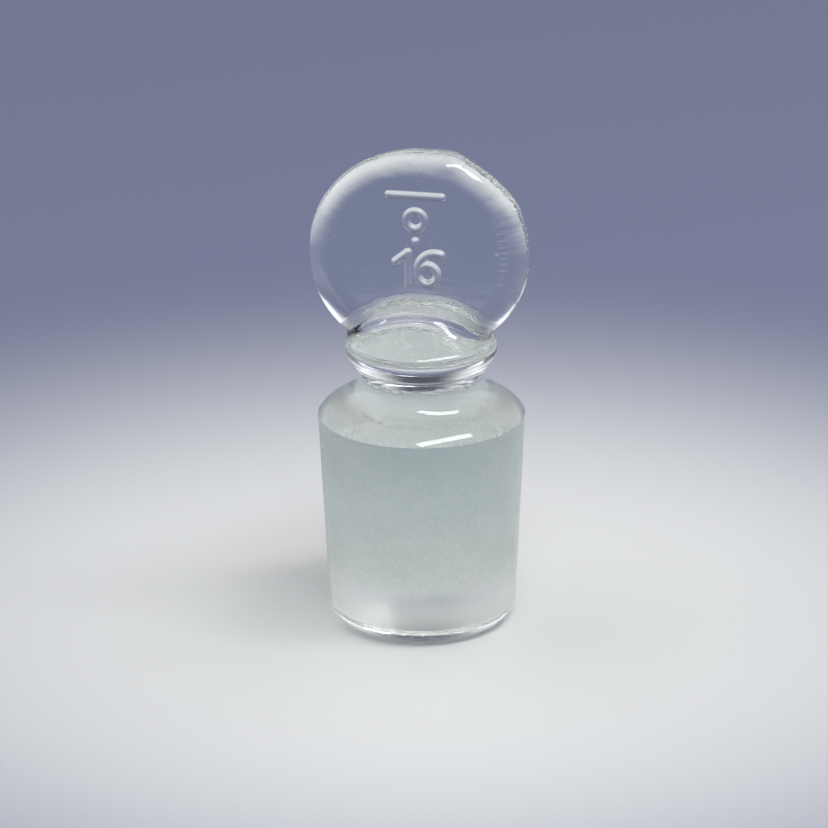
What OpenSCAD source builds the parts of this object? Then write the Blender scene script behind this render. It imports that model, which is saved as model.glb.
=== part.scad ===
// Solid glass stopper with a flat round head, pressed in one piece.
// The axis is Z. The stopper stands on its foot at z = 0 and the head's faces look along Y.

/* [Ground plug] */
// Diameter of the ground plug at its large end
large_d = 16.4; // [13:0.1:20]
// Length of the ground plug along its axis
ground_len = 15.7; // [10:0.1:26]
// Length over which the ground diameter grows by 1 mm
taper_run = 10; // [6:1:20]

/* [Foot] */
// Diameter of the flat face it stands on
foot_d = 12; // [8:0.1:14]
// Height of the clear rounded end below the ground plug
foot_h = 1.5; // [0.8:0.1:3]
// How far the rounded end bulges out of the straight line from foot to plug
foot_bulge = 0.25; // [0.1:0.05:0.35]

/* [Shoulder and neck] */
// Diameter of the neck at its narrowest
neck_d = 9.8; // [7:0.1:12]
// Radius of the round shoulder above the ground plug
shoulder_r = 3.1; // [1.5:0.1:4.5]
// Angle of the shoulder's face to the vertical where it leaves the ground plug
shoulder_start = 33; // [20:1:45]
// Radius of the hollow between shoulder and neck
hollow_r = 2.4; // [1:0.1:3]

/* [Collar] */
// Diameter of the collar
collar_d = 12.1; // [10:0.1:15]
// Height of the collar's bead above the narrowest place of the neck
collar_rise = 2.1; // [1.8:0.1:4]
// Radius of the collar's rounded bead
bead_r = 1.2; // [0.5:0.05:1.4]
// Rise of the domed top above the bead
dome_h = 2; // [1:0.1:3]

/* [Head] */
// Diameter of the flat round head
head_d = 17.3; // [14:0.1:24]
// Thickness of the head between its faces
head_t = 4; // [3:0.1:5]
// Radius of the rounding between a face and the rim
head_round = 1.9; // [0.5:0.05:2.2]
// Depth to which the head's round outline sinks below the middle of the collar's bead
head_sink = 0.9; // [0.3:0.05:2]
// Depth of the flat at the top of the rim
head_flat = 0.15; // [0:0.05:0.4]
// Radius of the fillet between head and dome
root_r = 1.5; // [0.5:0.1:2]
// Height of the mould's parting fin on the rim
fin_h = 0.1; // [0.05:0.05:0.3]
// Width of the parting fin at its base
fin_w = 0.3; // [0.2:0.05:0.6]

/* [Raised marks] */
// Height of the marks above the head's front face
mark_h = 0.3; // [0.1:0.05:0.5]
// Width of a mark's stroke
stroke_w = 0.55; // [0.3:0.05:0.8]
// Length of the bar above the marks
bar_len = 4.8; // [3:0.1:6]
// Height of a digit
digit_h = 3.1; // [2:0.1:4]
// Diameter of the small ring under the bar
ring_d = 2; // [1.5:0.1:2.5]

/* [Hidden] */
$fn = 128;

large_r = large_d / 2;
small_r = large_r - ground_len / taper_run / 2;
foot_r = foot_d / 2;
neck_r = neck_d / 2;
collar_r = collar_d / 2;
head_r = head_d / 2;
half_t = head_t / 2;
// The rim keeps a narrow band between its two roundings
rim_band = 0.2;
rim_round = min(head_round, (head_t - rim_band) / 2);
z_large = foot_h + ground_len;

// The shoulder's arc ends where it is tangent to the hollow's arc, or at its steepest slope,
// with a straight run between the two arcs.
steepest = 80;
step_r = large_r - neck_r;
tangent_cos = (shoulder_r * cos(shoulder_start) + hollow_r - step_r) / (shoulder_r + hollow_r);
shoulder_end = min(steepest, acos(tangent_cos));
shoulder_c = [large_r, z_large] - shoulder_r * toward(shoulder_start);
shoulder_tip = shoulder_c + shoulder_r * toward(shoulder_end);
run_len = (shoulder_tip.x - neck_r - hollow_r * (1 - cos(shoulder_end))) / sin(shoulder_end);
hollow_foot = shoulder_tip + run_len * toward(shoulder_end + 90);
hollow_c = hollow_foot + hollow_r * toward(shoulder_end);
z_neck = hollow_c.y;

// The neck widens in a straight cone that is tangent to the bead.
bead_c = [collar_r - bead_r, z_neck + collar_rise];
neck_to_bead = bead_c - [neck_r, z_neck];
cone_slope = atan2(neck_to_bead.y, neck_to_bead.x) - asin(bead_r / norm(neck_to_bead));
cone_tip = bead_c + bead_r * toward(cone_slope - 90);

// The dome is a cap of a sphere that sits on the bead. Its edge runs on into the bead by
// seat_margin, so that the two arcs cross.
seat_slope = 65;
seat_margin = 8;
dome_seat = bead_c + bead_r * toward(seat_slope);
dome_r = (pow(dome_seat.x, 2) + pow(dome_h, 2)) / (2 * dome_h);
z_dome_c = dome_seat.y + dome_h - dome_r;

z_head = bead_c.y + head_r - head_sink;

// A ball that rolls along dome and face draws the fillet, so the fillet is a torus about a
// line through the dome's centre, square to the head. The ball cuts a little into both, so that
// the fillet meets them at a clear angle.
root_bite = 0.04;
root_arm = dome_r + root_r - root_bite;
root_c = [sqrt(pow(root_arm, 2) - pow(half_t + root_r - root_bite, 2)), half_t + root_r - root_bite];
root_low = root_c * (dome_r - root_r / 2) / root_arm;
root_inset = 0.3;
root_edge_r = collar_r - root_inset;

// Places of the marks, from the head's centre
bar_z = 5.35;
ring_z = 3.35;
dot_z = 1.6;
digits_z = -2.15;
one_x = -0.75;
six_x = 0.95;

// Shapes of the digits, as parts of a digit's height
one_lean = 0.05;
flag_run = 0.33;
flag_drop = 0.27;
six_bowl = 0.68;
six_tail = 1.08;
// The six's tail starts at its left side and ends at this angle above the right
tail_stop = 70;
// It ends in a ball a little wider than the stroke
tail_ball = 1.15;

function toward(angle) = [cos(angle), sin(angle)];

// A sector of a disc between two angles less than 90 degrees apart
module sector(centre, radius, from, to) {
    intersection() {
        translate(centre) circle(radius);
        polygon([centre, centre + 2 * radius * toward(from), centre + 2 * radius * toward(to)]);
    }
}

// The round end under the plug, an arc through the foot's edge and the plug's small end
module foot_section() {
    start = [foot_r, 0];
    end = [small_r, foot_h];
    chord = end - start;
    radius = (pow(norm(chord) / 2, 2) + pow(foot_bulge, 2)) / (2 * foot_bulge);
    outward = [chord.y, -chord.x] / norm(chord);
    centre = (start + end) / 2 - (radius - foot_bulge) * outward;
    to_start = start - centre;
    to_end = end - centre;
    sector(centre, radius, atan2(to_start.y, to_start.x), atan2(to_end.y, to_end.x));
}

// Foot, ground plug, shoulder and the hollow up to the narrowest place of the neck
module plug_section() {
    foot_section();
    sector(shoulder_c, shoulder_r, shoulder_start, shoulder_end);
    difference() {
        polygon([
            [0, 0], [foot_r, 0], [small_r, foot_h], [large_r, z_large],
            shoulder_tip, hollow_foot, hollow_c, [neck_r, z_neck], [0, z_neck]
        ]);
        translate(hollow_c) circle(hollow_r);
    }
}

// The widening neck, the bead and the dome, whose edge ends inside the bead
module collar_section() {
    polygon([[0, z_neck], [neck_r, z_neck], cone_tip, bead_c, [0, bead_c.y]]);
    translate(bead_c) circle(bead_r);
    intersection() {
        translate([0, z_dome_c]) circle(dome_r);
        polygon([
            [0, z_neck], bead_c, bead_c + 2 * bead_r * toward(seat_slope - seat_margin),
            [0, bead_c.y + bead_r + 2 * dome_h]
        ]);
    }
}

// Half of the head's section: a flat round plate with rounded edges
module head_section() {
    core_r = head_r - rim_round;
    edge_t = half_t - rim_round;
    translate([0, -half_t]) square([core_r, head_t]);
    translate([0, -edge_t]) square([head_r, 2 * edge_t]);
    for (side = [-1, 1]) translate([core_r, side * edge_t]) circle(rim_round);
}

// Section of the parting fin, a wedge whose sides cross the rim fin_w apart
module fin_section() {
    polygon([[head_r - fin_h, -fin_w], [head_r + fin_h, 0], [head_r - fin_h, fin_w]]);
}

// Section of the fillet on one side of the head, from the dome's centre
module root_section() {
    difference() {
        polygon([[root_low.x, 0], [root_c.x, 0], root_c, root_low]);
        translate(root_c) circle(root_r);
    }
}

// Turns a section about a line along Y at the given height
module turn_about_y(height) {
    translate([0, 0, height]) rotate([90, 0, 0]) rotate_extrude() children();
}

// What the flat at the top of the rim takes away
module above_flat() {
    translate([-head_r, -head_t, z_head + head_r - head_flat]) cube([head_d, 2 * head_t, head_r]);
}

module head() {
    difference() {
        turn_about_y(z_head) head_section();
        above_flat();
    }
}

// The parting fin stands on the rim wherever that is outside the collar
module fin() {
    difference() {
        turn_about_y(z_head) fin_section();
        above_flat();
        translate([-head_r, -head_t, z_neck]) cube([head_d, 2 * head_t, collar_rise + bead_r]);
    }
}

// The fillets on both faces, kept above the bead and inside the collar
module root() {
    intersection() {
        union() {
            turn_about_y(z_dome_c) root_section();
            mirror([0, 1, 0]) turn_about_y(z_dome_c) root_section();
        }
        translate([0, 0, bead_c.y]) cylinder(r = root_edge_r, h = head_r);
    }
}

// A straight stroke with round ends
module stroke(start, end) {
    run = end - start;
    translate(start) circle(d = stroke_w);
    translate(end) circle(d = stroke_w);
    translate(start) rotate(atan2(run.y, run.x)) {
        translate([0, -stroke_w / 2]) square([norm(run), stroke_w]);
    }
}

module ring(diameter) {
    difference() {
        circle(d = diameter);
        circle(d = diameter - 2 * stroke_w);
    }
}

// Digits stand on y = 0 and are centred on x = 0
module digit_one() {
    top = [one_lean * digit_h, digit_h - stroke_w / 2];
    stroke([top.x, stroke_w / 2], top);
    stroke(top, top - digit_h * [flag_run, flag_drop]);
}

module digit_six() {
    bowl_d = six_bowl * digit_h;
    tail_d = six_tail * digit_h;
    tail_c = [(tail_d - bowl_d) / 2, digit_h - tail_d / 2];
    tail_end = tail_c + (tail_d - stroke_w) / 2 * toward(tail_stop);
    translate([0, bowl_d / 2]) ring(bowl_d);
    intersection() {
        translate(tail_c) ring(tail_d);
        polygon([
            tail_c, tail_c + tail_d * toward(tail_stop),
            tail_c + tail_d * toward(tail_stop / 2 + 90), tail_c - [tail_d, 0]
        ]);
    }
    translate(tail_end) circle(d = tail_ball * stroke_w);
}

// The marks stand out of the front face, towards -Y
module marks() {
    sunk = 0.2;
    translate([0, sunk - half_t, z_head]) rotate([90, 0, 0]) linear_extrude(mark_h + sunk) {
        translate([0, bar_z]) stroke([-(bar_len - stroke_w) / 2, 0], [(bar_len - stroke_w) / 2, 0]);
        translate([0, ring_z]) ring(ring_d);
        translate([0, dot_z]) circle(d = stroke_w);
        translate([one_x, digits_z]) digit_one();
        translate([six_x, digits_z]) digit_six();
    }
}

module stopper() {
    color([0.78, 0.86, 0.86, 0.7]) {
        rotate_extrude() {
            plug_section();
            collar_section();
        }
        root();
        head();
        fin();
        marks();
    }
}

stopper();
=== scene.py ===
# A solid pressed glass stopper for a lab flask, with a ground plug and a flat round head.
# All shape work is done in millimetres, and finished meshes are scaled to metres.

import math
from types import SimpleNamespace

import bmesh
import bpy
import numpy as np
from mathutils import Euler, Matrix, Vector


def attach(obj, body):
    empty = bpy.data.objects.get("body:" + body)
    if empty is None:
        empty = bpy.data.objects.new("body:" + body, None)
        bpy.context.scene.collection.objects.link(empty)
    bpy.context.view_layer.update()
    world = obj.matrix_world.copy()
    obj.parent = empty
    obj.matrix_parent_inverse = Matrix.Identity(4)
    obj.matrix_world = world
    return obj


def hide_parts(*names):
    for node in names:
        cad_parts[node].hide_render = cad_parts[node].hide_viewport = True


bl_info = {
    "name": "Flask Stopper",
    "version": (1, 0, 0),
    "blender": (4, 5, 0),
    "location": "View3D > Sidebar > Stopper",
    "description": "Builds a ground glass flask stopper and a small studio stage",
    "category": "Object",
}

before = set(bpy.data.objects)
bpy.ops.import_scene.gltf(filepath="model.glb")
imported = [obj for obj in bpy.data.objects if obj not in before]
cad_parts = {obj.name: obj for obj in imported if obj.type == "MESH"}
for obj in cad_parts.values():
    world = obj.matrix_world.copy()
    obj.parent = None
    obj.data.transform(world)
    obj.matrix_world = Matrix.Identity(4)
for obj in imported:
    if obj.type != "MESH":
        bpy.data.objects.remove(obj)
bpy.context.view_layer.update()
MM = 0.001


def length(name, millimetres, description):
    """A size that a user can change, shown in the scene's length unit."""
    return bpy.props.FloatProperty(
        name=name, description=description, default=millimetres * MM, min=0, precision=5, unit="LENGTH"
    )


def angle(name, degrees, description):
    return bpy.props.FloatProperty(
        name=name, description=description, default=math.radians(degrees), subtype="ANGLE"
    )


def colour(name, rgb, description):
    return bpy.props.FloatVectorProperty(
        name=name, description=description, default=rgb, size=3, min=0, max=1, subtype="COLOR"
    )


def factor(name, value, description):
    return bpy.props.FloatProperty(
        name=name, description=description, default=value, min=0, max=1, subtype="FACTOR"
    )


class StopperShape(bpy.types.PropertyGroup):
    """Sizes of the glass."""

    large_d: length("Plug diameter", 16.4, "Diameter of the ground plug at its large end")
    ground_len: length("Ground length", 15.7, "Length of the ground plug along its axis")
    taper_run: length("Taper run", 10, "Length over which the ground diameter grows by 1 mm")
    foot_d: length("Foot diameter", 12, "Diameter of the flat face it stands on")
    foot_h: length("Foot height", 1.5, "Height of the clear rounded end below the ground plug")
    foot_bulge: length("Foot bulge", 0.25, "How far the rounded end bulges outwards")
    neck_d: length("Neck diameter", 9.8, "Diameter of the neck at its narrowest")
    shoulder_r: length("Shoulder radius", 3.1, "Radius of the round shoulder")
    shoulder_start: angle("Shoulder start", 33, "Slope of the shoulder at the ground plug")
    hollow_r: length("Hollow radius", 2.4, "Radius of the hollow between shoulder and neck")
    collar_d: length("Collar diameter", 12.1, "Diameter of the collar")
    collar_rise: length("Collar rise", 2.1, "Height of the collar's bead above the neck")
    bead_r: length("Bead radius", 1.2, "Radius of the collar's rounded bead")
    dome_h: length("Dome height", 2, "Rise of the domed top above the bead")
    head_d: length("Head diameter", 17.3, "Diameter of the flat round head")
    head_t: length("Head thickness", 4, "Thickness of the head between its faces")
    head_round: length("Head rounding", 1.9, "Radius between a face and the rim")
    head_sink: length("Head sink", 0.9, "Depth of the head's outline below the bead")
    head_flat: length("Head flat", 0.15, "Depth of the flat at the top of the rim")
    root_r: length("Root fillet", 1.5, "Radius of the fillet between head and dome")
    fin_h: length("Fin height", 0.1, "Height of the mould's parting fin")
    fin_w: length("Fin width", 0.3, "Width of the parting fin at its base")
    seam_h: length("Seam height", 0.06, "Height of the mould's seam round the neck")
    mark_h: length("Mark height", 0.3, "Height of the raised marks")
    stroke_w: length("Stroke width", 0.55, "Width of a mark's stroke")
    bar_len: length("Bar length", 4.8, "Length of the bar above the marks")
    digit_h: length("Digit height", 3.1, "Height of a digit")
    ring_d: length("Ring diameter", 2, "Diameter of the small ring under the bar")
    mesh_step: length("Mesh step", 0.2, "Size of the faces on the head and the collar")
    segments: bpy.props.IntProperty(
        name="Segments", description="Faces around the turned part", default=288, min=24
    )


class StopperGlass(bpy.types.PropertyGroup):
    """Colours and finish of the glass."""

    clear_tint: colour("Clear glass", (0.965, 0.985, 0.98), "Tint of the clear glass")
    ground_tint: colour("Ground glass", (0.65, 0.755, 0.71), "Tint of the ground plug")
    ground_rough: factor("Ground roughness", 0.48, "Roughness of the ground plug")
    ground_sheen: factor("Ground sheen", 0.25, "Powdery shine of the ground plug at a low angle")
    ground_milk: factor("Ground milkiness", 0.1, "Share of the light that the ground plug scatters back")
    # Colour that the clouds and specks lighten towards, and the colour of the painted glow at the plug's
    # small end
    cloud_and_glow_tint: colour("Small end", (0.98, 1, 0.96), "Tint of the ground plug at its small end")
    mark_rough: factor("Mark roughness", 0.35, "Roughness of the raised marks")
    ior: bpy.props.FloatProperty(
        name="Refraction", description="Index of refraction", default=1.474, min=1, max=2
    )


class StopperStage(bpy.types.PropertyGroup):
    """Floor, backdrop and lamps."""

    floor_near: colour("Floor", (0.66, 0.67, 0.67), "Floor around the stopper")
    floor_far: colour("Backdrop", (0.17, 0.19, 0.29), "Floor far away")
    room: colour("Room", (0.07, 0.072, 0.09), "Room above the horizon")
    key_power: bpy.props.FloatProperty(
        name="Key lamp", description="Power of the strip lamp", default=1.8, min=0, unit="POWER"
    )
    side_light: bpy.props.FloatProperty(
        name="Side light", description="Brightest place of the soft light on each side", default=1.3, min=0
    )
    box_power: bpy.props.FloatProperty(
        name="Soft box", description="Power of the soft box overhead", default=1.7, min=0, unit="POWER"
    )


# Turned part: foot, ground plug, shoulder and neck, in millimetres. A ridge's width is half its
# true width, taken at about a third of its height.

# Width of the band that the rim keeps between its two roundings
RIM_BAND = 0.2
# Steepest end of the shoulder's arc, and where the dome sits on the bead, in degrees
STEEPEST = 80
SEAT_SLOPE = 65
# Points along each stretch of the outline
FOOT_FACE_POINTS = 6
FOOT_POINTS = 8
GROUND_POINTS = 24
SHOULDER_POINTS = 12
HOLLOW_POINTS = 14
NECK_POINTS = 10
# The hollow's points lie closer together from this angle up to the neck
NECK_START = 190
# Points closer than this are joined into one
WELD = 1e-4
# The mould's seam round the neck: its depth under the narrowest place, its width, how far its
# two waves stray, and how much its height varies
SEAM_DROP = 0.14
SEAM_WIDTH = 0.07
SEAM_STRAY = (0.04, 0.02)
SEAM_VARIES = 0.4
# Edges nearer the axis than this are never sharp
SHARP_FROM = 4.5
# Heights and radii that differ by less than this count as the same
SAME_PLACE = 1e-3


def toward(degrees):
    """The unit vector at an angle."""
    return np.array([math.cos(math.radians(degrees)), math.sin(math.radians(degrees))])


def derive(shape):
    """All sizes in millimetres, with those that follow from the named ones."""
    names = [n for n in StopperShape.__annotations__ if n not in ("segments", "shoulder_start")]
    s = SimpleNamespace(**{n: getattr(shape, n) / MM for n in names})
    s.segments = shape.segments
    s.shoulder_start = math.degrees(shape.shoulder_start)
    s.large_r = s.large_d / 2
    s.small_r = s.large_r - s.ground_len / s.taper_run / 2
    s.foot_r = s.foot_d / 2
    s.neck_r = s.neck_d / 2
    s.collar_r = s.collar_d / 2
    s.head_r = s.head_d / 2
    s.half_t = s.head_t / 2
    s.rim_round = min(s.head_round, s.half_t - RIM_BAND / 2)
    s.z_large = s.foot_h + s.ground_len
    # The shoulder's arc is tangent to the hollow's arc
    step = s.large_r - s.neck_r
    tangent = s.shoulder_r * toward(s.shoulder_start)[0] + s.hollow_r - step
    s.shoulder_end = min(STEEPEST, math.degrees(math.acos(tangent / (s.shoulder_r + s.hollow_r))))
    s.shoulder_c = np.array([s.large_r, s.z_large]) - s.shoulder_r * toward(s.shoulder_start)
    tip = s.shoulder_c + s.shoulder_r * toward(s.shoulder_end)
    run = (tip[0] - s.neck_r - s.hollow_r * (1 - toward(s.shoulder_end)[0])) / toward(s.shoulder_end)[1]
    s.hollow_c = tip + run * toward(s.shoulder_end + 90) + s.hollow_r * toward(s.shoulder_end)
    s.z_neck = s.hollow_c[1]
    # The neck widens in a cone that is tangent to the bead
    s.bead_c = np.array([s.collar_r - s.bead_r, s.z_neck + s.collar_rise])
    reach = s.bead_c - [s.neck_r, s.z_neck]
    s.cone_slope = math.atan2(reach[1], reach[0]) - math.asin(s.bead_r / np.hypot(*reach))
    # The dome is a cap of a sphere that sits on the bead
    seat = s.bead_c + s.bead_r * toward(SEAT_SLOPE)
    s.dome_r = (seat[0] ** 2 + s.dome_h ** 2) / (2 * s.dome_h)
    s.z_dome_c = seat[1] + s.dome_h - s.dome_r
    s.z_head = s.bead_c[1] + s.head_r - s.head_sink
    # The fillet's upper end on the head's face, from the dome's centre
    s.root_reach = math.sqrt((s.dome_r + s.root_r) ** 2 - (s.half_t + s.root_r) ** 2)
    return s


def arc(centre, radius, start, end, count):
    """Points on an arc, in degrees, without its first point."""
    return [centre + radius * toward(start + (end - start) * i / count) for i in range(1, count + 1)]


def foot_arc(s, count):
    """The round end from the foot's edge to the plug's small end."""
    start, end = np.array([s.foot_r, 0]), np.array([s.small_r, s.foot_h])
    chord = end - start
    radius = (np.hypot(*chord) ** 2 / 4 + s.foot_bulge ** 2) / (2 * s.foot_bulge)
    outward = np.array([chord[1], -chord[0]]) / np.hypot(*chord)
    centre = (start + end) / 2 - (radius - s.foot_bulge) * outward
    first, last = [math.degrees(math.atan2(*(p - centre)[::-1])) for p in (start, end)]
    return arc(centre, radius, first, last, count)


def turned_profile(s):
    """Points from the middle of the foot up to the neck."""
    points = [np.array([r, 0.0]) for r in np.linspace(0, s.foot_r, FOOT_FACE_POINTS)]
    points += foot_arc(s, FOOT_POINTS)
    small_end = points[-1]
    rise = np.array([s.large_r, s.z_large]) - small_end
    points += [small_end + rise * i / GROUND_POINTS for i in range(1, GROUND_POINTS + 1)]
    points += arc(s.shoulder_c, s.shoulder_r, s.shoulder_start, s.shoulder_end, SHOULDER_POINTS)
    points += arc(s.hollow_c, s.hollow_r, s.shoulder_end + 180, NECK_START, HOLLOW_POINTS)
    points += arc(s.hollow_c, s.hollow_r, NECK_START, 180, NECK_POINTS)
    return points


def sweep_tree():
    """Geometry nodes that turn a section about the vertical axis."""
    tree = bpy.data.node_groups.new("Turned glass", "GeometryNodeTree")
    inputs = {
        "Section": "Geometry", "Segments": "Int", "Path radius": "Float",
        "Weld distance": "Float", "Glass": "Material"
    }
    for name, kind in inputs.items():
        tree.interface.new_socket(name, in_out="INPUT", socket_type="NodeSocket" + kind)
    tree.interface.new_socket("Turned body", in_out="OUTPUT", socket_type="NodeSocketGeometry")
    node, link = tree.nodes.new, tree.links.new
    given, made = node("NodeGroupInput"), node("NodeGroupOutput")
    path, sweep = node("GeometryNodeCurvePrimitiveCircle"), node("GeometryNodeCurveToMesh")
    weld, real = node("GeometryNodeMergeByDistance"), node("GeometryNodeRealizeInstances")
    finish = node("GeometryNodeSetMaterial")
    link(given.outputs["Segments"], path.inputs["Resolution"])
    link(given.outputs["Path radius"], path.inputs["Radius"])
    link(path.outputs["Curve"], sweep.inputs["Curve"])
    link(given.outputs["Section"], sweep.inputs["Profile Curve"])
    link(sweep.outputs["Mesh"], weld.inputs["Geometry"])
    link(given.outputs["Weld distance"], weld.inputs["Distance"])
    link(weld.outputs["Geometry"], real.inputs["Geometry"])
    link(real.outputs["Geometry"], finish.inputs["Geometry"])
    link(given.outputs["Glass"], finish.inputs["Material"])
    link(finish.outputs["Geometry"], made.inputs["Turned body"])
    return tree


def turned_mesh(s, glass):
    """Points and faces of the turned part, up to the neck."""
    profile = turned_profile(s)
    path_r = s.foot_r
    curve = bpy.data.curves.new("section", "CURVE")
    curve.dimensions = "3D"
    spline = curve.splines.new("POLY")
    spline.points.add(len(profile) - 1)
    for point, (r, z) in zip(spline.points, profile):
        point.co = (r - path_r, -z, 0, 1)
    section = bpy.data.objects.new("section", curve)
    bpy.context.scene.collection.objects.link(section)
    tree = sweep_tree()
    swept = section.modifiers.new("Turn", "NODES")
    swept.node_group = tree
    values = {"Segments": s.segments, "Path radius": path_r, "Weld distance": WELD, "Glass": glass}
    for item in tree.interface.items_tree:
        if item.in_out == "INPUT" and item.name in values:
            swept[item.identifier] = values[item.name]
    graph = bpy.context.evaluated_depsgraph_get()
    mesh = bpy.data.meshes.new_from_object(section.evaluated_get(graph))
    section.modifiers.remove(swept)
    points = np.array([v.co for v in mesh.vertices])
    faces = [tuple(p.vertices) for p in mesh.polygons]
    if sum(f.normal.dot(f.center) * f.area for f in mesh.polygons) < 0:
        faces = [face[::-1] for face in faces]
    bpy.data.objects.remove(section)
    bpy.data.meshes.remove(mesh)
    points[:, :2] *= neck_seam(points, s)[:, None]
    return points, faces


def neck_seam(p, s):
    """How much the mould's wavy seam widens the neck, as a factor on x and y.
    The numbers before turn are waves in a full turn."""
    turn = np.arctan2(p[:, 1], p[:, 0])
    wave = SEAM_STRAY[0] * np.sin(9 * turn + 2 * np.sin(5 * turn)) + SEAM_STRAY[1] * np.sin(31 * turn)
    ridge = np.exp(-(((p[:, 2] - s.z_neck + SEAM_DROP + wave) / SEAM_WIDTH) ** 2))
    high = 1 - SEAM_VARIES + SEAM_VARIES * np.sin(23 * turn + 2 * np.sin(11 * turn))
    return 1 + s.seam_h * high * ridge / s.neck_r


# Head, dome and collar, in millimetres, as one field that is negative inside the glass. A ridge's
# width is measured as above.

# The thin ring under the bead: its height above the neck, how far it stands out, and its width
NECK_RING_Z = 0.75
NECK_RING_H = 0.04
NECK_RING_WIDTH = 0.08
# Fillet between dome and bead
DOME_FILLET = 0.12
# The root's fillet is this small at the head's edges, and shrinks between these distances
# from the middle
ROOT_EDGE_R = 0.6
ROOT_FADE = (2.5, 4.8)

# Places of the marks, from the head's centre
BAR_Z = 5.35
RING_Z = 3.35
DOT_Z = 1.6
DIGITS_Z = -2.15
ONE_X = -0.75
SIX_X = 0.95
# Shapes of the digits, as parts of a digit's height
ONE_LEAN = 0.05
FLAG = np.array([0.33, 0.27])
SIX_BOWL = 0.68
SIX_TAIL = 1.08
# The six's tail starts at its left side, TAIL_LAP below it inside the bowl's stroke, and ends
# TAIL_STOP above its right side, in degrees
TAIL_STOP = 70
TAIL_LAP = 10
# Half the width of a mark at its foot, as a part of the stroke's width
MARK_SPREAD = 0.62

# How the pressed outline strays from a circle: its shift and its oval, each with its size and
# its direction in radians clockwise from the top
OUTLINE_SHIFT = (0.14, -1.78)
OUTLINE_OVAL = (0.2, 1.19)
# Lumps on the head's rim: place clockwise from the top and width in degrees, and height
RIM_LUMPS = ((-99, 14, -0.1), (-38, 12, 0.05), (18, 8, 0.26), (60, 8, 0.15))
# The lumps are whole at the first distance inside the rim and gone at the second
LUMP_FADE = (0.2, 1.6)
# The rough seam on the rim: its height, its width, how far it strays from the middle plane, and
# the turns in radians at which it starts, is whole, starts to fade and ends
CHIP_H = 0.03
CHIP_WIDTH = 0.3
CHIP_STRAY = 0.12
CHIP_SPAN = (0.3, 0.6, 1.7, 2.2)
# The fine teeth on the front face: height, distance from the head's centre, width, and the turns
# as above
TEETH_H = 0.015
TEETH_R = 7
TEETH_WIDTH = 0.4
TEETH_SPAN = (0.9, 1.2, 1.7, 2.0)
# The parting fin: how much its height varies, the turns over which it grows ragged, its width as
# a part of fin_w, and the distances inside the rim between which it rises
FIN_VARIES = 0.3
FIN_RAGGED = (0.1, 0.5)
FIN_SHARE = 0.45
FIN_ROOT = (0.6, 0.2)

# Rounds of smoothing the net, and of splitting the faces that carry fine detail
SMOOTH_ROUNDS = 3
SPLIT_ROUNDS = 2
# Faces are split down to these depths under the front face and inside the rim, and this near to
# the teeth, the middle of the rough seam and the neck's ring
FACE_DEPTH = 0.3
RIM_DEPTH = 0.5
TEETH_NEAR = 0.6
CHIP_NEAR = 0.8
NECK_RING_NEAR = 0.2


def union_round(a, b, radius):
    """Joins two fields with a round fillet."""
    return np.maximum(radius, np.minimum(a, b)) - np.hypot(
        np.maximum(radius - a, 0), np.maximum(radius - b, 0)
    )


def smooth_step(low, high, x):
    """Rises from 0 at the low value to 1 at the high one."""
    t = np.clip((x - low) / (high - low), 0, 1)
    return t * t * (3 - 2 * t)


def span_share(turn, span):
    """Rises over the first two turns of a span, and falls over its last two."""
    start, whole, fade, end = span
    return smooth_step(start, whole, turn) * (1 - smooth_step(fade, end, turn))


def collar_field(p, s):
    """Widening neck, bead and dome."""
    r, z = np.hypot(p[:, 0], p[:, 1]), p[:, 2]
    out, up = r - s.bead_c[0], z - s.bead_c[1]
    bead = np.hypot(out, up) - s.bead_r
    cone = (r - s.neck_r) * math.sin(s.cone_slope) - (z - s.z_neck) * math.cos(s.cone_slope)
    cone -= NECK_RING_H * np.exp(-(((z - s.z_neck - NECK_RING_Z) / NECK_RING_WIDTH) ** 2))
    cone = np.maximum(cone, out * math.cos(s.cone_slope) + up * math.sin(s.cone_slope))
    dome = np.hypot(r, z - s.z_dome_c) - s.dome_r
    inward = toward(SEAT_SLOPE - 90)
    dome = np.maximum(dome, out * inward[0] + up * inward[1])
    return np.minimum(union_round(dome, bead, DOME_FILLET), cone)


def stroke_distance(u, w, start, end):
    """Distance from a straight line between two points."""
    run = np.subtract(end, start)
    along = np.clip(((u - start[0]) * run[0] + (w - start[1]) * run[1]) / (run @ run), 0, 1)
    return np.hypot(u - start[0] - along * run[0], w - start[1] - along * run[1])


def ring_distance(u, w, centre, diameter, s):
    """Distance from the middle of the stroke of a ring, given its outer diameter."""
    return np.abs(np.hypot(u - centre[0], w - centre[1]) - (diameter - s.stroke_w) / 2)


def digit_one_distance(u, w, s):
    """Digits stand on w = 0 and are centred on u = 0."""
    top = np.array([ONE_LEAN * s.digit_h, s.digit_h - s.stroke_w / 2])
    stem = stroke_distance(u, w, (top[0], s.stroke_w / 2), top)
    return np.minimum(stem, stroke_distance(u, w, top, top - s.digit_h * FLAG))


def digit_six_distance(u, w, s):
    """A ring with a wider arc as its tail."""
    bowl, tail = SIX_BOWL * s.digit_h, SIX_TAIL * s.digit_h
    tail_c = np.array([(tail - bowl) / 2, s.digit_h - tail / 2])
    tail_r = (tail - s.stroke_w) / 2
    around = np.degrees(np.arctan2(w - tail_c[1], u - tail_c[0]))
    on_tail = (around > TAIL_STOP) | (around < TAIL_LAP - 180)
    tip = tail_c + tail_r * toward(TAIL_STOP)
    root = tail_c + tail_r * toward(180)
    arc_d = np.where(
        on_tail,
        np.abs(np.hypot(u - tail_c[0], w - tail_c[1]) - tail_r),
        np.minimum(np.hypot(u - tip[0], w - tip[1]), np.hypot(u - root[0], w - root[1])),
    )
    return np.minimum(ring_distance(u, w, (0, bowl / 2), bowl, s), arc_d)


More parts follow.
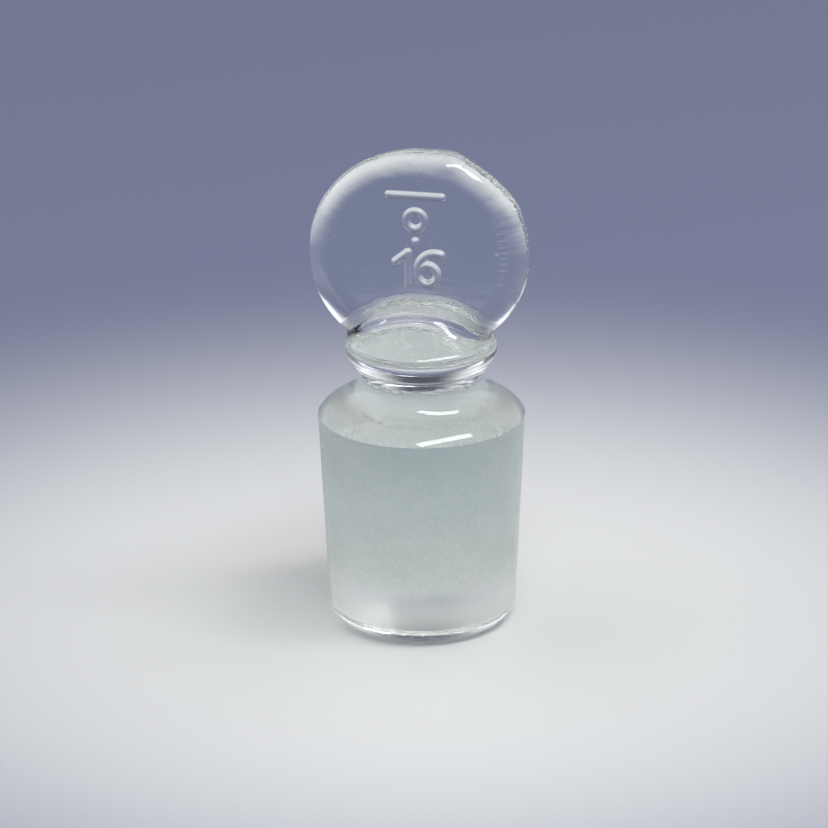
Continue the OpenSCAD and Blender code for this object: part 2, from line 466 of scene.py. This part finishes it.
def mark_distance(u, w, s):
    """Distance from the middle line of the nearest raised stroke, on the head's face."""
    half = (s.bar_len - s.stroke_w) / 2
    d = stroke_distance(u, w, (-half, BAR_Z), (half, BAR_Z))
    d = np.minimum(d, ring_distance(u, w, (0, RING_Z), s.ring_d, s))
    d = np.minimum(d, np.hypot(u, w - DOT_Z))
    d = np.minimum(d, digit_one_distance(u - ONE_X, w - DIGITS_Z, s))
    return np.minimum(d, digit_six_distance(u - SIX_X, w - DIGITS_Z, s))


def outline_bumps(turn, inner):
    """How far the pressed head's rim strays from a true circle, clockwise from the top.
    The lumps keep to the outermost part of the rim, and inner is 0 there and 1 on the face."""
    degrees = np.degrees(turn)
    lumps = sum(rise * np.exp(-(((degrees - place) / width) ** 2)) for place, width, rise in RIM_LUMPS)
    shift = OUTLINE_SHIFT[0] * np.cos(turn - OUTLINE_SHIFT[1])
    oval = OUTLINE_OVAL[0] * np.cos(2 * (turn - OUTLINE_OVAL[1]))
    return shift + oval + lumps * (1 - inner)


def rim_chips(turn, y):
    """Height of the rough seam on the rim's right side, where the mould closed badly.
    The numbers before turn are waves in a full turn."""
    along = np.sin(37 * turn + 3 * np.sin(11 * turn)) * np.sin(71 * turn + 2 * np.sin(23 * turn))
    stray = CHIP_STRAY * np.sin(19 * turn + 2 * np.sin(7 * turn))
    right = span_share(turn, CHIP_SPAN)
    return CHIP_H * right * along * np.exp(-(((y - stray) / CHIP_WIDTH) ** 2))


def shear_ripples(turn, rho):
    """Fine teeth on the front face where its flat middle ends, on the right."""
    high = TEETH_H * span_share(turn, TEETH_SPAN)
    across = np.exp(-(((rho - TEETH_R) / TEETH_WIDTH) ** 2))
    return high * np.sin(84 * turn + np.sin(13 * turn)) * across


def head_field(p, s):
    """The flat round head with its fin and its raised marks."""
    u, y, w = p[:, 0], p[:, 1], p[:, 2] - s.z_head
    rho, turn = np.hypot(u, w), np.arctan2(u, w)
    rise = np.clip(1 - (mark_distance(u, w, s) / (MARK_SPREAD * s.stroke_w)) ** 2, 0, 1)
    side = np.abs(y) - np.where(y < 0, s.mark_h * rise + shear_ripples(turn, rho), 0)
    e = s.rim_round
    inner = smooth_step(*LUMP_FADE, s.head_r - rho)
    out, flat = rho - (s.head_r + outline_bumps(turn, inner) - e), side - (s.half_t - e)
    d = np.hypot(np.maximum(out, 0), np.maximum(flat, 0)) + np.minimum(np.maximum(out, flat), 0) - e
    d = np.maximum(d, w - (s.head_r - s.head_flat))
    waves = FIN_VARIES * np.sin(41 * turn) * np.sin(23.7 * turn + 1) * smooth_step(*FIN_RAGGED, turn)
    ragged = 1 - FIN_VARIES + waves
    fin = s.fin_h * ragged * np.exp(-((y / (FIN_SHARE * s.fin_w)) ** 2)) + rim_chips(turn, y)
    return d - fin * smooth_step(s.head_r - FIN_ROOT[0], s.head_r - FIN_ROOT[1], rho)


def upper_field(p, s):
    """Head and collar, joined by the root's fillet."""
    side = smooth_step(*ROOT_FADE, np.abs(p[:, 0]))
    radius = s.root_r + (ROOT_EDGE_R - s.root_r) * side
    return union_round(head_field(p, s), collar_field(p, s), radius)


def surface_net(field, low, high, step):
    """Faces with four corners on the zero level of a field."""
    axes = [np.arange(a, b + step, step) for a, b in zip(low, high)]
    grid = np.stack(np.meshgrid(*axes, indexing="ij"), axis=-1)
    value = field(grid.reshape(-1, 3)).reshape(grid.shape[:3])
    cells = np.array(value.shape) - 1
    total, count = np.zeros((*cells, 3)), np.zeros(cells)
    quads = []
    for axis in range(3):
        b, c = (axis + 1) % 3, (axis + 2) % 3
        before, after = [slice(None)] * 3, [slice(None)] * 3
        before[axis], after[axis] = slice(0, -1), slice(1, None)
        near, far = value[tuple(before)], value[tuple(after)]
        edge = np.argwhere((near < 0) != (far < 0))
        at = tuple(edge.T)
        point = grid[tuple(before)][at].copy()
        point[:, axis] += step * near[at] / (near[at] - far[at])
        around = []
        for db, dc in ((0, 0), (1, 0), (1, 1), (0, 1)):
            cell = edge.copy()
            cell[:, b] -= db
            cell[:, c] -= dc
            around.append(cell)
            fits = np.all((cell >= 0) & (cell < cells), axis=1)
            np.add.at(total, tuple(cell[fits].T), point[fits])
            np.add.at(count, tuple(cell[fits].T), 1)
        around = np.stack(around, axis=1)
        whole = np.all((around >= 0) & (around < cells), axis=(1, 2))
        leaves = near[at][whole] < 0
        around = around[whole]
        around[~leaves] = around[~leaves][:, ::-1]
        quads.append(around)
    quads = np.concatenate(quads)
    used = count > 0
    number = np.full(cells, -1)
    number[used] = np.arange(used.sum())
    return total[used] / count[used][:, None], number[tuple(np.moveaxis(quads, -1, 0))]


def slope_of(field, p):
    """Gradient of a field at the points p."""
    reach = 2e-3
    steps = reach * np.eye(3)
    return np.stack([(field(p + d) - field(p - d)) / (2 * reach) for d in steps], axis=1)


def settle(field, p, rounds=3):
    """Moves points onto the zero level, in short steps where the field is nearly flat."""
    flattest = 0.05
    for _ in range(rounds):
        g = slope_of(field, p)
        p = p - (field(p) / np.maximum((g ** 2).sum(1), flattest))[:, None] * g
    return p


def relax(p, quads, free):
    """Moves free points half way to the middle of their neighbours."""
    ends = np.concatenate([quads[:, [i, (i + 1) % 4]] for i in range(4)])
    ends = np.concatenate([ends, ends[:, ::-1]])
    total = np.stack([np.bincount(ends[:, 0], p[ends[:, 1], k], len(p)) for k in range(3)], axis=1)
    middle = total / np.bincount(ends[:, 0], minlength=len(p))[:, None]
    return np.where(free[:, None], (p + middle) / 2, p)


def needs_detail(p, s):
    """True near the raised marks, along the rim's seam and at the ring under the bead."""
    u, w = p[:, 0], p[:, 2] - s.z_head
    rho, turn = np.hypot(u, w), np.arctan2(u, w)
    on_face = (p[:, 1] < FACE_DEPTH - s.half_t) & (mark_distance(u, w, s) < s.stroke_w)
    teeth = (p[:, 1] < 0) & (np.abs(rho - TEETH_R) < TEETH_NEAR)
    teeth &= (turn > TEETH_SPAN[0]) & (turn < TEETH_SPAN[-1])
    rough = (np.abs(p[:, 1]) < CHIP_NEAR) & (turn > CHIP_SPAN[0]) & (turn < CHIP_SPAN[-1])
    on_rim = (rho > s.head_r - RIM_DEPTH) & (rough | (np.abs(p[:, 1]) < s.fin_w))
    on_ring = np.abs(p[:, 2] - s.z_neck - NECK_RING_Z) < NECK_RING_NEAR
    return on_face | teeth | (on_rim & (p[:, 2] > s.bead_c[1] + s.bead_r)) | on_ring


def refine(p, faces, s, rounds):
    """Splits the faces that carry fine detail."""
    mesh = bmesh.new()
    corners = [mesh.verts.new(v) for v in p]
    for face in faces:
        mesh.faces.new([corners[i] for i in face])
    for _ in range(rounds):
        mesh.faces.ensure_lookup_table()
        centres = np.array([f.calc_center_median() for f in mesh.faces])
        wanted = needs_detail(centres, s)
        edges = {e for f, yes in zip(mesh.faces, wanted) if yes for e in f.edges}
        bmesh.ops.subdivide_edges(mesh, edges=list(edges), cuts=1, use_grid_fill=True)
    mesh.verts.index_update()
    made = np.array([v.co for v in mesh.verts])
    kept = [tuple(v.index for v in f.verts) for f in mesh.faces]
    mesh.free()
    return made, kept


def upper_mesh(s):
    """Points and faces of head, dome and collar, open at the neck."""

    def field(p):
        return upper_field(p, s)

    margin = 2 * s.mesh_step
    low = (-s.head_r - margin, -s.collar_r - margin, s.z_neck + s.mesh_step)
    high = (s.head_r + margin, s.collar_r + margin, s.z_head + s.head_r + margin)
    p, quads = surface_net(field, low, high, s.mesh_step)
    inner = p[:, 2] > low[2] + 2 * s.mesh_step
    for _ in range(SMOOTH_ROUNDS):
        p = settle(field, relax(p, quads, inner))
    p, faces = refine(p, quads.tolist(), s, SPLIT_ROUNDS)
    return settle(field, p), faces


def open_loops(faces):
    """The next point for each point on an open edge, in the order of the missing faces."""
    count = {}
    for face in faces:
        for a, b in zip(face, face[1:] + face[:1]):
            count[(a, b)] = 1
    return {b: a for a, b in count if (b, a) not in count}


def loop_by_turn(p, follow):
    """An open loop's points, counter-clockwise from the -X side."""
    ids = np.array(list(follow))
    turns = np.arctan2(p[ids, 1], p[ids, 0])
    first = ids[np.argmin(turns)]
    loop = [first]
    while follow[loop[-1]] != first:
        loop.append(follow[loop[-1]])
    # A loop that steps back across the -X side runs the wrong way
    second = p[loop[1]]
    if math.atan2(second[1], second[0]) > math.pi / 2:
        loop = loop[:1] + loop[:0:-1]
    return loop


def bridge(p, lower, upper):
    """Triangles between two open loops that go round the axis."""

    def turn(i):
        return math.atan2(p[i, 1], p[i, 0])

    faces, i, j = [], 0, 0
    n, m = len(lower), len(upper)
    while i < n or j < m:
        a, b = lower[i % n], upper[j % m]
        next_a, next_b = lower[(i + 1) % n], upper[(j + 1) % m]
        turn_a = turn(next_a) + (2 * math.pi if i + 1 >= n else 0)
        turn_b = turn(next_b) + (2 * math.pi if j + 1 >= m else 0)
        if j >= m or (i < n and turn_a <= turn_b):
            faces.append((a, next_a, b))
            i += 1
        else:
            faces.append((a, next_b, b))
            j += 1
    return faces


# The dulled finish reaches this high on the foot, this deep and wide (as a part of the stroke's
# width) on a mark, and this deep on the rim wherever the rough seam is this high
FOOT_DULL = 0.01
MARK_DULL_DEPTH = 0.05
MARK_DULL_SHARE = 0.6
RIM_DULL_DEPTH = 0.4
CHIP_DULL_H = 0.006


def is_dull(p, s):
    """True on the foot's flat face, the raised marks and the rough seam."""
    u, y, w = p[:, 0], p[:, 1], p[:, 2] - s.z_head
    on_mark = (y < MARK_DULL_DEPTH - s.half_t) & (mark_distance(u, w, s) < MARK_DULL_SHARE * s.stroke_w)
    on_seam = np.abs(rim_chips(np.arctan2(u, w), y)) > CHIP_DULL_H
    on_seam &= np.hypot(u, w) > s.head_r - RIM_DULL_DEPTH
    return on_mark | on_seam | (p[:, 2] < FOOT_DULL)


def glass_mesh(s, finishes):
    """One closed mesh of the whole stopper, in metres."""
    low_p, low_faces = turned_mesh(s, finishes[0])
    up_p, up_faces = upper_mesh(s)
    shift = len(low_p)
    p = np.concatenate([low_p, up_p])
    up_faces = [tuple(i + shift for i in f) for f in up_faces]
    lower = loop_by_turn(p, open_loops(low_faces))
    upper = loop_by_turn(p, open_loops(up_faces))
    faces = low_faces + up_faces + bridge(p, lower, upper)
    mesh = bpy.data.meshes.new("stopper_glass")
    mesh.from_pydata((p * MM).tolist(), [], faces)
    for finish in finishes:
        mesh.materials.append(finish)
    centre = np.zeros(len(mesh.polygons) * 3)
    mesh.polygons.foreach_get("center", centre)
    centre = centre.reshape(-1, 3) / MM
    on_ground = (centre[:, 2] < s.z_large) & (centre[:, 2] > s.foot_h)
    finish_number = (on_ground + 2 * is_dull(centre, s)).astype(np.int32)
    mesh.polygons.foreach_set("material_index", finish_number)
    mesh.polygons.foreach_set("use_smooth", np.ones(len(faces), bool))
    mark_sharp(mesh, (0, s.foot_h, s.z_large, s.z_neck))
    mesh.update()
    return mesh


def mark_sharp(mesh, heights):
    """Edges that run round at the given heights of the turned part are sharp."""
    co = np.zeros(len(mesh.vertices) * 3)
    mesh.vertices.foreach_get("co", co)
    x, y, z = co.reshape(-1, 3).T / MM
    r = np.hypot(x, y)
    ends = np.zeros(len(mesh.edges) * 2, np.int32)
    mesh.edges.foreach_get("vertices", ends)
    a, b = ends.reshape(-1, 2).T
    sharp = np.zeros(len(mesh.edges), bool)
    for height in heights:
        level = (np.abs(z[a] - height) < SAME_PLACE) & (np.abs(z[b] - height) < SAME_PLACE)
        sharp |= level & (np.abs(r[a] - r[b]) < SAME_PLACE) & (r[a] > SHARP_FROM)
    mesh.attributes.new("sharp_edge", "BOOLEAN", "EDGE").data.foreach_set("value", sharp)


# Materials. A noise's scale is per metre.

# Crinkled glass at the head's root, in millimetres: how far its edges stray
CRINKLE_STRAY = 0.5
# The upper arch lies on the head's face, just inside the fillet's end, and fades out between two
# distances from the head's middle plane
ARCH_INSET = 0.1
ARCH_HALF_WIDTH = 0.3
ARCH_SOFT = 0.08
ARCH_FADE = (2.9, 2.7)
# The lower arch lies on the dome, between two distances from the head's face, and starts between
# two heights
LOW_ARCH = (1.2, 1.38)
LOW_ARCH_SOFT = 0.05
LOW_ARCH_START = (23.9, 24.3)
LOW_ARCH_SHARE = 0.8
# Each corner lies between two distances to the side of the axis and two heights over the bead's
# middle
CORNER_X = (4.9, 6.4)
CORNER_X_SOFT = 0.1
CORNER_Z = (0.75, 1.75)
CORNER_Z_SOFT = 0.15
CORNER_SHARE = 0.8
# The crinkles' relief and roughness, against those of the clear glass and of the marks
CRINKLE_RELIEF = 2.5
CRINKLE_DULL = 1.5
# The ripples stay within this depth of the head's faces, and start between two heights
RIPPLE_DEPTH = 0.3
RIPPLE_START = (25, 27)
# The painted glow makes the ground plug palest at the first height, and it has its usual tint from the second
PAINTED_GLOW_HEIGHTS = (1.5, 6.5)
# Relief of the scratches, against that of the grains
SCRATCH_SHARE = 0.6


def new_material(name):
    """A material with its node tree and its main shader."""
    made = bpy.data.materials.new(name)
    made.use_nodes = True
    return made, made.node_tree, made.node_tree.nodes["Principled BSDF"]


def node_in(tree, kind, **values):
    """A new node with its inputs set by name."""
    made = tree.nodes.new(kind)
    for name, value in values.items():
        made.inputs[name.replace("_", " ")].default_value = value
    return made


def noise_at(tree, scale, detail, stretch=(1, 1, 1)):
    """A noise that lies still on the piece, stretched along its axes."""
    link = tree.links.new
    where = tree.nodes.new("ShaderNodeTexCoord")
    place = tree.nodes.new("ShaderNodeMapping")
    place.inputs["Scale"].default_value = stretch
    noise = node_in(tree, "ShaderNodeTexNoise", Scale=scale, Detail=detail)
    link(where.outputs["Object"], place.inputs["Vector"])
    link(place.outputs["Vector"], noise.inputs["Vector"])
    return noise.outputs["Fac"]


def position(tree):
    """The outputs X, Y and Z of the place on the piece."""
    where, part = tree.nodes.new("ShaderNodeTexCoord"), tree.nodes.new("ShaderNodeSeparateXYZ")
    tree.links.new(where.outputs["Object"], part.inputs["Vector"])
    return part.outputs


def combine(tree, operation, a, b):
    """A sum, product or other result of two values, each a number or a node's output."""
    made = tree.nodes.new("ShaderNodeMath")
    made.operation = operation
    for socket, value in zip(made.inputs, (a, b)):
        if isinstance(value, (int, float)):
            socket.default_value = value
        else:
            tree.links.new(value, socket)
    return made.outputs[0]


def square(tree, value):
    return combine(tree, "MULTIPLY", value, value)


def band(tree, value, start, end, onto=(0, 1)):
    """Maps a value between start and end smoothly onto another pair."""
    step = node_in(
        tree, "ShaderNodeMapRange", From_Min=start, From_Max=end, To_Min=onto[0], To_Max=onto[1]
    )
    step.interpolation_type = "SMOOTHSTEP"
    tree.links.new(value, step.inputs["Value"])
    return step.outputs["Result"]


def mixed(tree, first, second, share):
    """The first colour, with a share of the second mixed in."""
    blend = tree.nodes.new("ShaderNodeMix")
    blend.data_type = "RGBA"
    blend.inputs["A"].default_value = (*first, 1)
    blend.inputs["B"].default_value = (*second, 1)
    tree.links.new(share, blend.inputs["Factor"])
    return blend.outputs["Result"]


def bump(tree, shader, height, distance):
    """Relief on the surface, whose full height is the distance in metres."""
    made = node_in(tree, "ShaderNodeBump", Strength=1, Distance=distance)
    tree.links.new(height, made.inputs["Height"])
    tree.links.new(made.outputs["Normal"], shader.inputs["Normal"])


def glass_base(name, tint, rough, ior):
    """A glass material that lets all light through."""
    made, tree, shader = new_material(name)
    shader.inputs["Base Color"].default_value = (*tint, 1)
    shader.inputs["Transmission Weight"].default_value = 1
    shader.inputs["Roughness"].default_value = rough
    shader.inputs["IOR"].default_value = ior
    return made, tree, shader


def within(tree, value, low, high, soft):
    """One between two values in millimetres and zero outside, with soft ends."""
    rising = band(tree, value, (low - soft) * MM, (low + soft) * MM)
    falling = band(tree, value, (high - soft) * MM, (high + soft) * MM, onto=(1, 0))
    return combine(tree, "MULTIPLY", rising, falling)


def root_crinkle(tree, s):
    """Where the press left the glass crinkled: an arch at each end of the head's fillet, and the
    two places where the head's rim meets the collar."""
    part = position(tree)
    up = combine(tree, "SUBTRACT", part["Z"], s.z_dome_c * MM)
    reach = combine(tree, "POWER", combine(tree, "ADD", square(tree, part["X"]), square(tree, up)), 0.5)
    side = combine(tree, "ABSOLUTE", part["Y"], 0)
    wander = combine(tree, "SUBTRACT", noise_at(tree, scale=900, detail=2), 0.5)
    edge = combine(tree, "MULTIPLY", wander, CRINKLE_STRAY * MM)

    arch_r = s.root_reach - ARCH_INSET
    upper = within(
        tree, combine(tree, "ADD", reach, edge), arch_r - ARCH_HALF_WIDTH, arch_r + ARCH_HALF_WIDTH, ARCH_SOFT
    )
    near_face = band(tree, side, ARCH_FADE[0] * MM, ARCH_FADE[1] * MM)
    high = combine(tree, "MULTIPLY", upper, near_face)

    from_face = [s.half_t + distance for distance in LOW_ARCH]
    lower = within(tree, combine(tree, "ADD", side, edge), *from_face, LOW_ARCH_SOFT)
    start = band(
        tree, part["Z"], LOW_ARCH_START[0] * MM, LOW_ARCH_START[1] * MM, onto=(0, LOW_ARCH_SHARE)
    )
    low = combine(tree, "MULTIPLY", lower, start)

    across = combine(tree, "ADD", combine(tree, "ABSOLUTE", part["X"], 0), edge)
    over_bead = [s.bead_c[1] + height for height in CORNER_Z]
    corner = combine(
        tree, "MULTIPLY", within(tree, across, *CORNER_X, CORNER_X_SOFT),
        within(tree, part["Z"], *over_bead, CORNER_Z_SOFT)
    )
    arches = combine(tree, "ADD", low, high)
    return combine(tree, "ADD", arches, combine(tree, "MULTIPLY", corner, CORNER_SHARE))


def clear_glass(look, s):
    """Pressed glass: slow waves from the mould, short ripples, specks and a crinkled root."""
    made, tree, shader = glass_base("clear glass", look.clear_tint, 0.0, look.ior)
    waves = noise_at(tree, scale=260, detail=2)
    ripples = noise_at(tree, scale=700, detail=2, stretch=(0.3, 1, 2.4))
    specks = band(tree, noise_at(tree, scale=2600, detail=1), 0.72, 0.8, onto=(0, 0.6))
    fine = combine(tree, "ADD", ripples, specks)
    side = combine(tree, "ABSOLUTE", position(tree)["Y"], 0)
    on_face = band(tree, side, (s.half_t - RIPPLE_DEPTH) * MM, s.half_t * MM)
    high = band(
        tree, position(tree)["Z"], RIPPLE_START[0] * MM, RIPPLE_START[1] * MM, onto=(0.1, 1)
    )
    on_head = combine(tree, "MULTIPLY", on_face, high)
    relief = combine(tree, "ADD", waves, combine(tree, "MULTIPLY", fine, on_head))
    crinkle = root_crinkle(tree, s)
    grain = combine(tree, "MULTIPLY", crinkle, noise_at(tree, scale=3500, detail=3))
    grain = combine(tree, "MULTIPLY", grain, CRINKLE_RELIEF)
    bump(tree, shader, combine(tree, "ADD", relief, grain), distance=2.5e-5)
    rough = combine(tree, "MULTIPLY", crinkle, CRINKLE_DULL * look.mark_rough)
    tree.links.new(rough, shader.inputs["Roughness"])
    return made


def mark_glass(look):
    """Raised marks, the rough seam and the flat face of the foot, dulled by wear."""
    made, tree, shader = glass_base("mark glass", look.clear_tint, look.mark_rough, look.ior)
    bump(tree, shader, noise_at(tree, scale=4000, detail=3), distance=1e-5)
    return made


def ground_glass(look):
    """Ground glass: fine grains, faint long scratches and soft clouds, with a painted glow that lightens it
    towards its small end.
    """
    made, tree, shader = glass_base("ground glass", look.ground_tint, look.ground_rough, look.ior)
    shader.inputs["Sheen Weight"].default_value = look.ground_sheen
    shader.inputs["Sheen Roughness"].default_value = 0.5
    shader.inputs["Transmission Weight"].default_value = 1 - look.ground_milk
    grains = noise_at(tree, scale=7000, detail=3)
    long_noise = noise_at(tree, scale=1400, detail=1, stretch=(1, 1, 0.12))
    scratches = band(tree, long_noise, 0.62, 0.7)
    height = combine(tree, "ADD", grains, combine(tree, "MULTIPLY", scratches, SCRATCH_SHARE))
    bump(tree, shader, height, distance=1e-5)
    clouds = band(tree, noise_at(tree, scale=320, detail=3), 0.3, 0.7, onto=(0, 0.2))
    specks = band(tree, noise_at(tree, scale=7500, detail=2), 0.5, 0.66, onto=(0, 0.6))
    # Painted glow: the base colour lightens towards the plug's small end, in place of the light gathered
    # there
    painted_glow = band(tree, position(tree)["Z"], PAINTED_GLOW_HEIGHTS[0] * MM, PAINTED_GLOW_HEIGHTS[1] * MM, onto=(1, 0))
    paleness_and_glow = combine(tree, "ADD", combine(tree, "ADD", clouds, specks), painted_glow)
    tree.links.new(mixed(tree, look.ground_tint, look.cloud_and_glow_tint, paleness_and_glow), shader.inputs["Base Color"])
    return made


# Stage. Turns are to the right of -Y and heights above the floor, both in degrees, and lengths
# are in metres.

CAMERA_TURN = 11.5
CAMERA_HEIGHT = 20.48
CAMERA_DISTANCE = 0.6
CAMERA_ROLL = -0.37
# The camera looks at a point on the axis at this height, moved to its left by the shift
CAMERA_AIM_Z = 17.03 * MM
CAMERA_SHIFT = 0.6 * MM
# Focal length, as a multiple of the sensor's side
FOCAL_SIDES = 9.147343
# The floor lies just under the foot. Its colour changes to the backdrop's over the first pair of
# distances, and over the second it turns into an even haze of that colour
FLOOR_HALF = 12.0
FLOOR_DROP = 0.03 * MM
FLOOR_FADE = (0.015, 0.09)
HAZE = (0.1, 0.5)
# The soft light on each side: turn from the camera, height, and how far it spreads
SIDE_TURN = 112
SIDE_HEIGHT = 22
SIDE_SPREAD = 56
# The side lights start, and the horizon ends, between these upward parts of a direction
SIDE_START = (0.01, 0.16)
HORIZON = (0.02, 0.3)
# Lamps: turn from the camera, height, distance, size and the name of the power
LAMPS = {
    "strip lamp": (40, 63, 0.5, (0.46, 0.1), "key_power"),
    "soft box": (-20, 76, 0.8, (1.2, 1.2), "box_power"),
}
LAMP_TARGET = Vector((0, 0, 0.02))


def area_lamp(name, place, size, power):
    """A flat lamp that points at the stopper."""
    data = bpy.data.lights.new(name, "AREA")
    data.shape = "RECTANGLE"
    data.size, data.size_y = size
    data.energy = power
    lamp = bpy.data.objects.new(name, data)
    bpy.context.scene.collection.objects.link(lamp)
    lamp.location = place
    lamp.rotation_euler = (LAMP_TARGET - place).to_track_quat("-Z", "Y").to_euler()


def sky_point(turn, height, distance, target):
    """A place seen from the target."""
    flat = distance * math.cos(math.radians(height))
    a = math.radians(turn)
    return Vector(target) + Vector(
        (flat * math.sin(a), -flat * math.cos(a), distance * math.sin(math.radians(height)))
    )


def add_camera():
    data = bpy.data.cameras.new("camera")
    data.sensor_width = 36
    data.lens = FOCAL_SIDES * data.sensor_width
    data.clip_start, data.clip_end = 0.01, 100
    camera = bpy.data.objects.new("camera", data)
    bpy.context.scene.collection.objects.link(camera)
    turn = math.radians(CAMERA_TURN)
    right = Vector((math.cos(turn), math.sin(turn), 0))
    target = Vector((0, 0, CAMERA_AIM_Z)) - CAMERA_SHIFT * right
    camera.location = sky_point(CAMERA_TURN, CAMERA_HEIGHT, CAMERA_DISTANCE, target)
    aim = (target - camera.location).to_track_quat("-Z", "Y")
    roll = Euler((0, 0, math.radians(CAMERA_ROLL))).to_quaternion()
    camera.rotation_euler = (aim @ roll).to_euler()
    bpy.context.scene.camera = camera


def floor_material(stage):
    """Pale around the stopper, and the backdrop's own colour far away."""
    made, tree, shader = new_material("floor")
    node, link = tree.nodes.new, tree.links.new
    where, size = node("ShaderNodeTexCoord"), node("ShaderNodeVectorMath")
    size.operation = "LENGTH"
    link(where.outputs["Object"], size.inputs[0])
    reach = node_in(tree, "ShaderNodeMapRange", From_Min=FLOOR_FADE[0], From_Max=FLOOR_FADE[1])
    reach.interpolation_type = "SMOOTHERSTEP"
    link(size.outputs["Value"], reach.inputs["Value"])
    paint = mixed(tree, stage.floor_near, stage.floor_far, reach.outputs["Result"])
    link(paint, shader.inputs["Base Color"])
    shader.inputs["Roughness"].default_value = 0.6
    shader.inputs["Specular IOR Level"].default_value = 0.2
    haze, both = node("ShaderNodeEmission"), node("ShaderNodeMixShader")
    haze.inputs["Color"].default_value = (*stage.floor_far, 1)
    link(band(tree, size.outputs["Value"], *HAZE), both.inputs["Fac"])
    link(shader.outputs["BSDF"], both.inputs[1])
    link(haze.outputs["Emission"], both.inputs[2])
    link(both.outputs["Shader"], tree.nodes["Material Output"].inputs["Surface"])
    return made


def add_floor(stage):
    mesh = bpy.data.meshes.new("floor")
    sides = ((-1, -1), (1, -1), (1, 1), (-1, 1))
    corners = [(x * FLOOR_HALF, y * FLOOR_HALF, -FLOOR_DROP) for x, y in sides]
    mesh.from_pydata(corners, [], [(0, 1, 2, 3)])
    mesh.materials.append(floor_material(stage))
    floor = bpy.data.objects.new("floor", mesh)
    bpy.context.scene.collection.objects.link(floor)


def add_room(stage):
    """A dim room over a paler horizon, with a broad soft light on each side, for all rays alike."""
    world = bpy.data.worlds.new("room")
    bpy.context.scene.world = world
    world.use_nodes = True
    tree = world.node_tree
    node, link = tree.nodes.new, tree.links.new
    walls, out = tree.nodes["Background"], tree.nodes["World Output"]
    where, part = node("ShaderNodeTexCoord"), node("ShaderNodeSeparateXYZ")
    link(where.outputs["Generated"], part.inputs["Vector"])
    height = band(tree, part.outputs["Z"], *HORIZON)
    link(mixed(tree, stage.floor_far, stage.room, height), walls.inputs["Color"])
    edge = math.cos(math.radians(SIDE_SPREAD))
    glow = 0
    for turn in (-SIDE_TURN, SIDE_TURN):
        toward_light = node("ShaderNodeVectorMath")
        toward_light.operation = "DOT_PRODUCT"
        toward_light.inputs[1].default_value = sky_point(CAMERA_TURN + turn, SIDE_HEIGHT, 1, (0, 0, 0))
        link(where.outputs["Generated"], toward_light.inputs[0])
        near = band(tree, toward_light.outputs["Value"], edge, 1, onto=(0, stage.side_light))
        glow = combine(tree, "ADD", near, glow)
    glow = combine(tree, "MULTIPLY", glow, band(tree, part.outputs["Z"], *SIDE_START))
    lights, both = node("ShaderNodeBackground"), node("ShaderNodeAddShader")
    link(glow, lights.inputs["Strength"])
    lights.inputs["Color"].default_value = (1, 1, 1, 1)
    link(walls.outputs["Background"], both.inputs[0])
    link(lights.outputs["Background"], both.inputs[1])
    link(both.outputs["Shader"], out.inputs["Surface"])


# Operators


class STOPPER_OT_build_glass(bpy.types.Operator):
    """Build the stopper's glass around its frame."""

    bl_idname = "stopper.build_glass"
    bl_label = "Build the glass"

    def execute(self, context):
        scene = context.scene
        look = scene.stopper_glass
        s = derive(scene.stopper_shape)
        mesh = glass_mesh(s, (clear_glass(look, s), ground_glass(look), mark_glass(look)))
        piece = bpy.data.objects.new("stopper_glass", mesh)
        scene.collection.objects.link(piece)
        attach(piece, "root")
        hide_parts("stopper")
        return {"FINISHED"}


class STOPPER_OT_build_stage(bpy.types.Operator):
    """Set up floor, backdrop, lamps and camera."""

    bl_idname = "stopper.build_stage"
    bl_label = "Build the stage"

    def execute(self, context):
        stage = context.scene.stopper_stage
        add_camera()
        add_floor(stage)
        add_room(stage)
        for name, (turn, height, distance, size, power) in LAMPS.items():
            place = sky_point(CAMERA_TURN + turn, height, distance, LAMP_TARGET)
            area_lamp(name, place, size, getattr(stage, power))
        context.scene.view_settings.view_transform = "Standard"
        return {"FINISHED"}


class STOPPER_PT_panel(bpy.types.Panel):
    """Sidebar panel with the stopper's operators and sizes."""

    bl_label = "Flask Stopper"
    bl_idname = "STOPPER_PT_panel"
    bl_space_type = "VIEW_3D"
    bl_region_type = "UI"
    bl_category = "Stopper"

    def draw(self, context):
        for operator in (STOPPER_OT_build_glass, STOPPER_OT_build_stage):
            self.layout.operator(operator.bl_idname)
        for group in GROUPS:
            for name in GROUPS[group].__annotations__:
                self.layout.prop(getattr(context.scene, group), name)


GROUPS = {
    "stopper_shape": StopperShape, "stopper_glass": StopperGlass, "stopper_stage": StopperStage
}
CLASSES = (*GROUPS.values(), STOPPER_OT_build_glass, STOPPER_OT_build_stage, STOPPER_PT_panel)


def register():
    for made in CLASSES:
        bpy.utils.register_class(made)
    for name, group in GROUPS.items():
        setattr(bpy.types.Scene, name, bpy.props.PointerProperty(type=group))


def unregister():
    for name in GROUPS:
        delattr(bpy.types.Scene, name)
    for made in reversed(CLASSES):
        bpy.utils.unregister_class(made)


def main():
    register()
    bpy.ops.stopper.build_glass()
    bpy.ops.stopper.build_stage()


if __name__ == "__main__":
    main()
